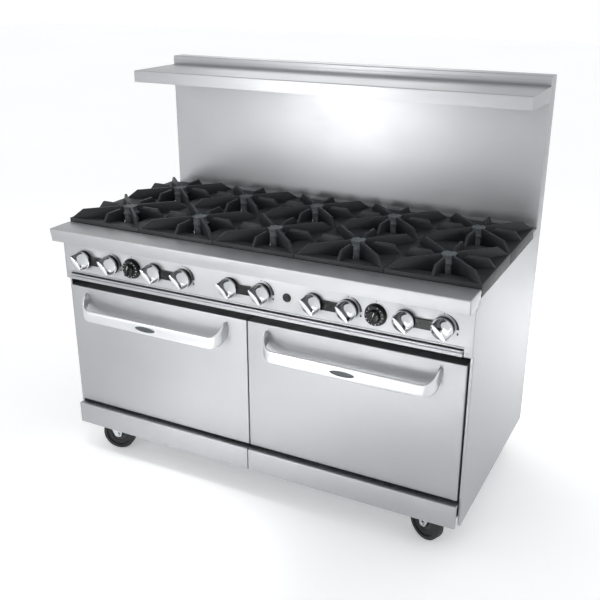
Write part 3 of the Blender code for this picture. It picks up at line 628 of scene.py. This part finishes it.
# ---------------------------------------------------------------- burners
def make_head():
    """An upright burner head about its own middle: a waisted square column with a belt, a flared top and ports."""
    base, top = 0.872, RIB_TOP - 1.5 * MM
    half = 20 * MM
    column = cube((-half, -half, base), (half, half, base + 30 * MM))
    edit(column)
    pick("FACE", lambda face: face.normal.z > 0.9)
    for climb, wanted in ((20, 18), (2, 26), (7, 26), (2, 18), (11, 18.5), (6, 23)):
        bpy.ops.mesh.extrude_region_move(TRANSFORM_OT_translate={"value": (0, 0, climb * MM)})
        across = wanted * MM / half
        bpy.ops.transform.resize(value=(across, across, 1), center_override=(0, 0, 0))
        half = wanted * MM
    bpy.ops.transform.translate(value=(0, 0, top - base - 78 * MM))
    bpy.ops.mesh.inset(thickness=5 * MM, depth=0)
    bpy.ops.transform.translate(value=(0, 0, -3 * MM))
    rest()
    soften(column, 1.4 * MM, 2, 30)
    cutters = []
    for i in range(4):
        for across in (-7, 0, 7):
            port = cube((15 * MM, (across - 0.9) * MM, top - 20 * MM), (28 * MM, (across + 0.9) * MM, top - 7 * MM))
            port.data.transform(Matrix.Rotation(math.tau * i / 4, 4, "Z"))
            cutters.append(port)
        notch = cube((17 * MM, -3 * MM, top - 2.5 * MM), (28 * MM, 3 * MM, top + MM))
        notch.data.transform(Matrix.Rotation(math.tau * i / 4, 4, "Z"))
        cutters.append(notch)
    return combine(column, [join(cutters)], "DIFFERENCE")


def make_pilot():
    """The pilot's bright tube standing in front of a burner head, with a small hood at its top."""
    tube = drum((0, -41 * MM, 0.840), (0, -41 * MM, 0.8985), 2.6 * MM, 16)
    edit(tube)
    pick("FACE", lambda face: face.normal.z > 0.9)
    bpy.ops.mesh.inset(thickness=0.8 * MM, depth=0)
    bpy.ops.mesh.extrude_region_move(TRANSFORM_OT_translate={"value": (0, 0, -6 * MM)})
    rest()
    hood = drum((0, -41 * MM, 0.894), (0, -36.5 * MM, 0.907), 3.4 * MM, 16, 2.2 * MM)
    return combine(tube, [hood], "UNION")


head, pilot = make_head(), make_pilot()
for i in range(1, 6):
    node = f"burners_{i}"
    x = middle(node).x
    low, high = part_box(node)
    pieces = []
    for word, shift in (("front", 28 * MM), ("rear", -28 * MM)):
        y = middle(f"grate_{word}_{i}").y
        place = Matrix.Translation((x, y, 0))
        finish(copy(head, place), f"burner_head_{word}_{i}", "range", BURNT_IRON, sharp=30)
        tube = drum((x + shift, low.y, 0.818), (x + shift, y + 45 * MM, 0.818), 15 * MM, 24)
        edit(tube)
        pick("FACE", lambda face: face.normal.y < -0.9)
        bpy.ops.mesh.extrude_region_move(TRANSFORM_OT_translate={"value": (0, 0.5 * MM, 0)})
        bpy.ops.mesh.inset(thickness=3 * MM, depth=0)
        bpy.ops.mesh.extrude_region_move(TRANSFORM_OT_translate={"value": (0, 18 * MM, 0)})
        rest()
        elbow = drum((x, y, 0.806), (x, y, 0.858), 31 * MM, 32, 33 * MM)
        soften(elbow, 4 * MM, 3)
        collar = drum((x, y, 0.850), (x, y, 0.877), 32 * MM, 32, 20 * MM)
        pieces += [combine(tube, [elbow, soften(collar, 1.5 * MM, 2)], "UNION")]
        finish(copy(pilot, place), f"pilot_{word}_{i}", "range", CHROME)
    bridge = soften(cube((x - 30 * MM, -0.290, 0.812), (x + 30 * MM, -0.277, 0.824)), 2 * MM)
    finish(join(pieces + [bridge]), f"{node}_casting", "range", IRON, [node], 30)
for pattern in (head, pilot):
    bpy.data.objects.remove(pattern)


# ---------------------------------------------------------------- knobs, about the stem's axis at the panel's face
def make_knob():
    """A chrome knob: a round skirt whose front draws in, with a hollow flank on each side, to a long narrow ridge."""
    knob = drum((0, -12 * MM, 0), (0, -19 * MM, 0), 34 * MM, 48, 34.5 * MM)
    edit(knob)
    pick("FACE", lambda face: face.normal.y < -0.9)
    bpy.ops.mesh.inset(thickness=1.2 * MM, depth=0.6 * MM)
    across = 1.0
    for forward, wanted in ((2, 0.93), (4, 0.78), (5, 0.58), (6, 0.40), (7, 0.27), (7, 0.19)):
        bpy.ops.mesh.extrude_region_move(TRANSFORM_OT_translate={"value": (0, -forward * MM, 0)})
        bpy.ops.transform.resize(value=(0.985, 1, wanted / across), center_override=(0, 0, 0))
        across = wanted
    rest()
    soften(knob, 0.8 * MM, 2, 50)
    knob.data.transform(Matrix.Rotation(math.radians(47), 4, "Y"))
    return knob


def make_dial():
    """A thermostat dial: a broad black skirt with a raised grip bar across it."""
    dial = drum((0, -3.5 * MM, 0), (0, -15 * MM, 0), 33.5 * MM, 48, 32 * MM)
    edit(dial)
    pick("FACE", lambda face: face.normal.y < -0.9)
    bpy.ops.mesh.inset(thickness=11 * MM, depth=0)
    bpy.ops.mesh.extrude_region_move(TRANSFORM_OT_translate={"value": (0, -11 * MM, 0)})
    bpy.ops.transform.resize(value=(0.86, 1, 0.86), center_override=(0, 0, 0))
    rest()
    bar = cube((-5 * MM, -34 * MM, -21 * MM), (5 * MM, -12 * MM, 21 * MM))
    soften(bar, 2.4 * MM, 3)
    bar.data.transform(Matrix.Rotation(math.radians(20), 4, "Y"))
    soften(dial, 1.2 * MM, 3)
    return combine(dial, [bar], "UNION")


def make_marks():
    """White marks round a dial's skirt, and an index line on its grip."""
    marks = []
    for i in range(13):
        angle = math.radians(20 + 25 * i)
        tall = 5 * MM if i % 3 == 0 else 3 * MM
        mark = cube((-0.6 * MM, -15.4 * MM, 25.5 * MM), (0.6 * MM, -14.6 * MM, 25.5 * MM + tall))
        mark.data.transform(Matrix.Rotation(angle, 4, "Y"))
        marks.append(mark)
    index = cube((-0.7 * MM, -34.3 * MM, 6 * MM), (0.7 * MM, -33.5 * MM, 20 * MM))
    index.data.transform(Matrix.Rotation(math.radians(20), 4, "Y"))
    return join(marks + [index])


ARC_START, ARC_STEP, ARC_PIECES = 12, 5, 15


def make_scale():
    """Printed by the right-hand knob of each pair: a tick at the top, an arc that thickens, and a small flame."""
    tick = cube((-1.2 * MM, -0.45 * MM, 40.5 * MM), (1.2 * MM, 0.2 * MM, 45 * MM))
    arc_middle = 43 * MM
    arc = cube((-0.4 * MM, -0.45 * MM, arc_middle - 0.6 * MM), (0.4 * MM, 0.2 * MM, arc_middle + 0.6 * MM))
    arc.data.transform(Matrix.Rotation(math.radians(ARC_START), 4, "Y"))
    edit(arc)
    first = Matrix.Rotation(math.radians(ARC_START), 3, "Y") @ Vector((1, 0, 0))
    pick("FACE", lambda face: face.normal.dot(first) > 0.9)
    for i in range(ARC_PIECES):
        bpy.ops.mesh.extrude_region_move(TRANSFORM_OT_translate={"value": (0, 0, 0)})
        bpy.ops.transform.rotate(value=-math.radians(ARC_STEP), orient_axis="Y", center_override=(0, 0, 0))
        angle = math.radians(ARC_START + ARC_STEP * (i + 1))
        spot = (arc_middle * math.sin(angle), 0, arc_middle * math.cos(angle))
        grow = (1.2 + 0.5 * (i + 1)) / (1.2 + 0.5 * i)
        bpy.ops.transform.resize(value=(grow, 1, grow), center_override=spot)
    rest()
    flame = drum((0, 0.2 * MM, 0), (0, -0.45 * MM, 0), 3.0 * MM, 20)
    edit(flame)
    pick("FACE", lambda face: face.normal.y < -0.9)
    bpy.ops.mesh.inset(thickness=0.9 * MM, depth=0)
    bpy.ops.mesh.extrude_region_move(TRANSFORM_OT_translate={"value": (0, 0.3 * MM, 0)})
    pick("VERT", lambda v: v.co.z > 2.2 * MM)
    bpy.ops.transform.translate(value=(0, 0, 2.5 * MM))
    rest()
    flame.data.transform(Matrix.Translation((43 * MM, 0, -15 * MM)))
    return join([tick, arc, flame])


knob_pattern, scale_pattern = make_knob(), make_scale()
order = sorted(KNOBS, key=lambda name: KNOBS[name][0].x)
for count, node in enumerate(order):
    place = Matrix.Translation((middle(node).x, PANEL_FACE, KNOB_HEIGHT))
    finish(copy(knob_pattern, place), f"{node}_cap", node, CHROME, [node], 28)
    if count % 2:
        finish(copy(scale_pattern, place), f"{node}_scale", "range", INK)
for pattern in (knob_pattern, scale_pattern):
    bpy.data.objects.remove(pattern)

# black mounting plates: two round bosses joined by a bar, behind each pair of knobs
for pair in range(5):
    ends = [middle(order[2 * pair + k]).x for k in (0, 1)]
    bosses = [
        drum((x, PANEL_FACE + 0.2 * MM, KNOB_HEIGHT), (x, PANEL_FACE - 11.4 * MM, KNOB_HEIGHT), 34 * MM, 48, 33.5 * MM)
        for x in ends
    ]
    bar = cube(
        (ends[0], PANEL_FACE - 9 * MM, KNOB_HEIGHT - 15 * MM), (ends[1], PANEL_FACE + 0.2 * MM, KNOB_HEIGHT + 15 * MM)
    )
    plate = combine(bosses[0], [bosses[1], bar], "UNION")
    finish(soften(plate, 0.9 * MM, 2), f"knob_plate_{pair + 1}", "range", PLASTIC)

dial_pattern, mark_pattern = make_dial(), make_marks()
for side in ("left", "right"):
    node = f"thermostat_knob_{side}"
    place = Matrix.Translation((middle(node).x, PANEL_FACE, KNOB_HEIGHT))
    finish(copy(dial_pattern, place), f"thermostat_{side}_dial", node, PLASTIC, [node], 30)
    finish(copy(mark_pattern, place), f"thermostat_{side}_marks", node, PALE_INK)
    x = middle(node).x
    bezel = drum((x, PANEL_FACE + 0.2 * MM, KNOB_HEIGHT), (x, PANEL_FACE - 3 * MM, KNOB_HEIGHT), 36.5 * MM, 56)
    finish(soften(bezel, 0.9 * MM, 3), f"thermostat_{side}_bezel", "range", PLASTIC)
    tick = cube(
        (x - 1.0 * MM, PANEL_FACE - 0.45 * MM, KNOB_HEIGHT + 40 * MM),
        (x + 1.0 * MM, PANEL_FACE + 0.2 * MM, KNOB_HEIGHT + 45 * MM),
    )
    finish(soften(tick, 0.15 * MM, 1), f"thermostat_{side}_tick", "range", INK)
for pattern in (dial_pattern, mark_pattern):
    bpy.data.objects.remove(pattern)

# domed plug over the spare hole in the panel
x = (middle(order[5]).x + middle(order[6]).x) / 2
plug_disc = drum((x, PANEL_FACE + 0.2 * MM, KNOB_HEIGHT), (x, PANEL_FACE - 1.6 * MM, KNOB_HEIGHT), 15 * MM, 40)
edit(plug_disc)
pick("FACE", lambda face: face.normal.y < -0.9)
bpy.ops.mesh.inset(thickness=2.2 * MM, depth=0)
bpy.ops.transform.translate(value=(0, 1.0 * MM, 0))
finish(soften(plug_disc, 0.6 * MM, 2), "panel_plug", "range", PLASTIC)

# ---------------------------------------------------------------- gap behind the doors, and its screws
# a black-painted strip in the gap above the doors; its black is partly painted shade, standing in for the shaded recess
# behind the gap
strip = cube((-0.752, -0.322, 0.6865), (0.752, -0.3185, 0.7115))
finish(soften(strip, 0.8 * MM, 2), "door_head_strip", "range", BLACK_PAINT)


def make_screw(radius=3.2 * MM):
    """A pan-head screw about the origin, its head towards the front, with a crossed recess."""
    screw = drum((0, 2 * MM, 0), (0, -1.6 * MM, 0), radius, 20)
    edit(screw)
    pick("FACE", lambda face: face.normal.y < -0.9)
    bpy.ops.mesh.bevel(offset=0.9 * MM, segments=3, affect="EDGES")
    rest()
    cross = [
        cube((-2.0 * MM, -2.2 * MM, -0.4 * MM), (2.0 * MM, -0.9 * MM, 0.4 * MM)),
        cube((-0.4 * MM, -2.2 * MM, -2.0 * MM), (0.4 * MM, -0.9 * MM, 2.0 * MM)),
    ]
    return combine(screw, cross, "DIFFERENCE")


screw_pattern = make_screw()
for i, x in enumerate((-0.70, -0.43, -0.16, 0.16, 0.43, 0.70)):
    place = Matrix.Translation((x, -0.3222, 0.699))
    finish(copy(screw_pattern, place), f"door_head_screw_{i + 1}", "range", ZINC)
for i, x in enumerate((-0.735, 0.735)):
    place = Matrix.Translation((x, -0.3185, 0.2095))
    finish(copy(screw_pattern, place), f"sill_screw_{i + 1}", "range", ZINC)
bpy.data.objects.remove(screw_pattern)


# ---------------------------------------------------------------- casters, about the swivel's axis, trailing to +X
def make_tyre():
    """A wheel about the origin on an axle along Y: a crowned tread, side walls, and a dished centre."""
    radius = 63.4 * MM
    wheel = drum((0, 16 * MM, 0), (0, -16 * MM, 0), radius, 64)
    edit(wheel)
    for way in (1, -1):
        pick("FACE", lambda face: face.normal.y * way > 0.9)
        bpy.ops.mesh.inset(thickness=3 * MM, depth=0)
        bpy.ops.mesh.inset(thickness=11 * MM, depth=0)
        bpy.ops.transform.translate(value=(0, way * 0.8 * MM, 0))
        bpy.ops.mesh.inset(thickness=1.5 * MM, depth=0)
        bpy.ops.transform.translate(value=(0, -way * 5 * MM, 0))
    pick(
        "EDGE",
        lambda edge: all(abs(math.hypot(v.co.x, v.co.z) - radius) < MM for v in edge.verts)
        and abs(edge.verts[0].co.y - edge.verts[1].co.y) < MM,
    )
    bpy.ops.mesh.bevel(offset=4 * MM, segments=4, affect="EDGES")
    rest()
    bore = drum((0, 0.03, 0), (0, -0.03, 0), 30 * MM, 48)
    return combine(wheel, [bore], "DIFFERENCE")


def make_centre():
    """The wheel's centre: a web between a rim and a hub, with its bearing's bore."""
    centre = drum((0, 9 * MM, 0), (0, -9 * MM, 0), 30.2 * MM, 48)
    edit(centre)
    for way in (1, -1):
        pick("FACE", lambda face: face.normal.y * way > 0.9)
        bpy.ops.mesh.inset(thickness=3 * MM, depth=0)
        bpy.ops.transform.translate(value=(0, -way * 3 * MM, 0))
        bpy.ops.mesh.inset(thickness=11 * MM, depth=0)
        bpy.ops.transform.translate(value=(0, way * 1 * MM, 0))
        bpy.ops.mesh.inset(thickness=1 * MM, depth=0)
        bpy.ops.transform.translate(value=(0, way * 8 * MM, 0))
    rest()
    bore = drum((0, 0.03, 0), (0, -0.03, 0), 6.0 * MM, 24)
    return soften(combine(centre, [bore], "DIFFERENCE"), 0.7 * MM, 2, 40)


TRAIL, AXLE_Z, PIN_X, PIN_Z = 28 * MM, 63.5 * MM, 50 * MM, 113 * MM
FORK_IN, FORK_WALL = 19 * MM, 3 * MM


def make_fork(braked):
    """The pressed fork: a dished crown, two tapering legs, the axle with its nuts, and the brake's pivot."""
    crown_top, crown_low = 0.1395, 0.1330
    crown = drum((0, 0, crown_low), (0, 0, crown_top), 30 * MM, 40, 31 * MM)
    soften(crown, 1.5 * MM, 3)
    pieces = [crown]
    out = FORK_IN + FORK_WALL
    pieces.append(cube((-20 * MM, -out, crown_low - 0.5 * MM), (PIN_X + 2 * MM, out, crown_low + 3.5 * MM)))
    for side in (-1, 1):
        near, far = sorted((side * FORK_IN, side * (FORK_IN + FORK_WALL)))
        leg = cube((-20 * MM, near, AXLE_Z - 11 * MM), (PIN_X + 6 * MM, far, crown_low + 1 * MM))
        edit(leg)
        pick("VERT", lambda v: v.co.z < AXLE_Z and v.co.x < 0)
        bpy.ops.transform.translate(value=(TRAIL + 9 * MM, 0, 0))
        pick("VERT", lambda v: v.co.z < AXLE_Z and v.co.x > PIN_X)
        bpy.ops.transform.translate(value=(TRAIL + 11 * MM - PIN_X - 6 * MM, 0, 0))
        pick("EDGE", lambda edge: abs(edge.verts[0].co.y - edge.verts[1].co.y) > 2 * MM and edge.verts[0].co.z < AXLE_Z)
        bpy.ops.mesh.bevel(offset=7 * MM, segments=4, affect="EDGES")
        rest()
        pieces.append(leg)
        face = side * (FORK_IN + FORK_WALL)
        nut = drum((TRAIL, face - side * MM, AXLE_Z), (TRAIL, face + side * 5 * MM, AXLE_Z), 8 * MM, 6)
        pieces.append(soften(nut, 0.7 * MM, 2))
        if braked:
            pin = drum((PIN_X, face - side * 2 * MM, PIN_Z), (PIN_X, face + side * 5 * MM, PIN_Z), 3 * MM, 16)
            pieces.append(pin)
    pieces.append(drum((TRAIL, -26 * MM, AXLE_Z), (TRAIL, 26 * MM, AXLE_Z), 5.5 * MM, 24))
    return combine(pieces[0], pieces[1:], "UNION")


def make_brake():
    """The brake's pedal at its place on the fork: two arms outside the legs, and a ribbed foot plate."""
    near, far = FORK_IN + FORK_WALL + 0.8 * MM, FORK_IN + FORK_WALL + 3.3 * MM
    pieces = []
    for side in (-1, 1):
        arm = cube(
            (PIN_X - 8 * MM, min(side * near, side * far), PIN_Z - 5 * MM),
            (PIN_X + 48 * MM, max(side * near, side * far), PIN_Z + 5 * MM),
        )
        edit(arm)
        pick("EDGE", lambda edge: abs(edge.verts[0].co.y - edge.verts[1].co.y) > 2 * MM)
        bpy.ops.mesh.bevel(offset=3.5 * MM, segments=3, affect="EDGES")
        rest()
        eye = drum((PIN_X, side * 0.01, PIN_Z), (PIN_X, side * 0.04, PIN_Z), 3.4 * MM, 20)
        pieces.append(combine(arm, [eye], "DIFFERENCE"))
    foot = cube((PIN_X + 30 * MM, -far, PIN_Z), (PIN_X + 48 * MM, far, PIN_Z + 4 * MM))
    grips = [
        cube((PIN_X + x * MM, -18 * MM, PIN_Z + 3 * MM), (PIN_X + (x + 1.6) * MM, 18 * MM, PIN_Z + 5 * MM))
        for x in (33, 37, 41, 45)
    ]
    return combine(pieces[0], [pieces[1], foot, *grips], "UNION")


tyre, centre_pattern, brake = make_tyre(), make_centre(), make_brake()
forks = {True: make_fork(True), False: make_fork(False)}
for joint in frame["joints"]:
    if not joint["name"].endswith("_swivel"):
        continue
    name = joint["name"][: -len("_swivel")]
    spin = next(other for other in frame["joints"] if other["name"] == f"{name}_spin")
    base = Vector((joint["pos_m"][0], joint["pos_m"][1], 0))
    axle = Vector(spin["pos_m"])
    trail = axle - Vector((base.x, base.y, axle.z))
    place = Matrix.Translation(base) @ Matrix.Rotation(math.atan2(trail.y, trail.x), 4, "Z")
    wheel_place = place @ Matrix.Translation((TRAIL, 0, AXLE_Z))
    braked = name.startswith("caster_front")
    finish(copy(forks[braked], place), f"{name}_fork_pressing", f"{name}_fork", ZINC, [f"{name}_fork"])
    finish(copy(tyre, wheel_place), f"{name}_tyre", f"{name}_wheel", RUBBER, [f"{name}_wheel"])
    finish(copy(centre_pattern, wheel_place), f"{name}_wheel_centre", f"{name}_wheel", NYLON)
    if braked:
        finish(copy(brake, place), f"{name}_pedal", f"{name}_brake", ZINC, [f"{name}_brake"])
for pattern in (tyre, centre_pattern, brake, *forks.values()):
    bpy.data.objects.remove(pattern)

# ---------------------------------------------------------------- floor, light and camera
rest()
bpy.ops.mesh.primitive_plane_add(size=40, location=(0, 0, -0.0005))
floor = bpy.context.object
floor.name = "studio_floor"
floor_material, tree, shader, place = start("studio_floor_pale")
haze = add(tree, "TexNoise", {"Vector": place, "Scale": 0.4, "Detail": 2.0})
pale = {"Factor": haze.outputs["Fac"], "A": colour("#f1f2f3"), "B": colour("#f8f8f8")}
tone = add(tree, "Mix", pale, data_type="RGBA").outputs["Result"]
# a faint glow of its own keeps the floor white under the soft lamps
plug(tree, shader, {"Base Color": tone, "Roughness": 0.6, "Emission Color": tone, "Emission Strength": 0.25})
floor.data.materials.append(floor_material)

world = bpy.data.worlds.new("studio_air")
world.use_nodes = True
air = world.node_tree
toward = add(air, "TexCoord").outputs["Generated"]
height = add(air, "SeparateXYZ", {"Vector": toward}).outputs["Z"]
rise = add(air, "ValToRGB", {"Fac": height})
# bright to just above the horizon, greyer above, as a lit cove is under a dim ceiling
for spot, tone in ((0.0, "#ffffff"), (0.12, "#fbfbfc"), (0.5, "#eceded"), (1.0, "#dfe0e1")):
    stop = rise.color_ramp.elements.new(spot) if 0 < spot < 1 else rise.color_ramp.elements[0 if spot == 0 else -1]
    stop.color = colour(tone)
air.links.new(rise.outputs["Color"], air.nodes["Background"].inputs["Color"])
air.nodes["Background"].inputs["Strength"].default_value = 1.0
bpy.context.scene.world = world
bpy.context.scene.view_settings.view_transform = "Standard"


def lamp(name, place, target, size, power, spread=180):
    """A rectangular soft light that faces a point."""
    data = bpy.data.lights.new(name, "AREA")
    data.shape = "RECTANGLE"
    data.size, data.size_y = size
    data.energy = power
    data.spread = math.radians(spread)
    obj = bpy.data.objects.new(name, data)
    bpy.context.scene.collection.objects.link(obj)
    obj.location = place
    obj.rotation_euler = (Vector(target) - Vector(place)).to_track_quat("-Z", "Y").to_euler()
    return obj


# soft pools on the floor, which the sheets mirror as broad glows: the doors and kick plates, the panel's right-hand
# end, the riser and the right-hand side each have their own
lamp("pool_doors", (-0.36, -1.15, 2.0), (-0.36, -1.1, 0), (0.25, 0.9), 3.5, 42)
lamp("pool_panel", (0.3, -2.5, 2.0), (0.3, -2.4, 0), (0.4, 0.5), 32, 50)
lamp("pool_riser", (-2.2, -4.4, 2.6), (-2.2, -4.4, 0), (1.0, 1.6), 60, 70)
lamp("glow_riser", (-1.55, -3.6, 1.35), (0.1, 0.37, 1.15), (0.7, 0.9), 4.6, 60)
lamp("glow_shelf", (-1.4, 3.2, 2.6), (0, 0.2, 1.2), (2.0, 0.8), 12)
lamp("pool_side", (1.5, 1.9, 2.2), (1.4, 1.8, 0), (0.8, 0.8), 13, 70)
lamp("key_left", (-2.6, -2.6, 3.2), (0, 0, 0.8), (1.8, 1.8), 6)
lamp("fill_right", (3.6, -1.0, 1.8), (0.2, 0, 0.7), (2.0, 2.0), 12)

AZIMUTH, ELEVATION = math.radians(27.29), math.radians(21.48)
back = Vector((math.sin(AZIMUTH) * math.cos(ELEVATION), -math.cos(AZIMUTH) * math.cos(ELEVATION), math.sin(ELEVATION)))
camera_data = bpy.data.cameras.new("view")
camera_data.sensor_width = 36
camera_data.lens = 50.88
camera = bpy.data.objects.new("view", camera_data)
bpy.context.scene.collection.objects.link(camera)
camera.location = (1.338, -2.577, 1.773)
camera.rotation_euler = (-back).to_track_quat("-Z", "Y").to_euler()
bpy.context.scene.camera = camera
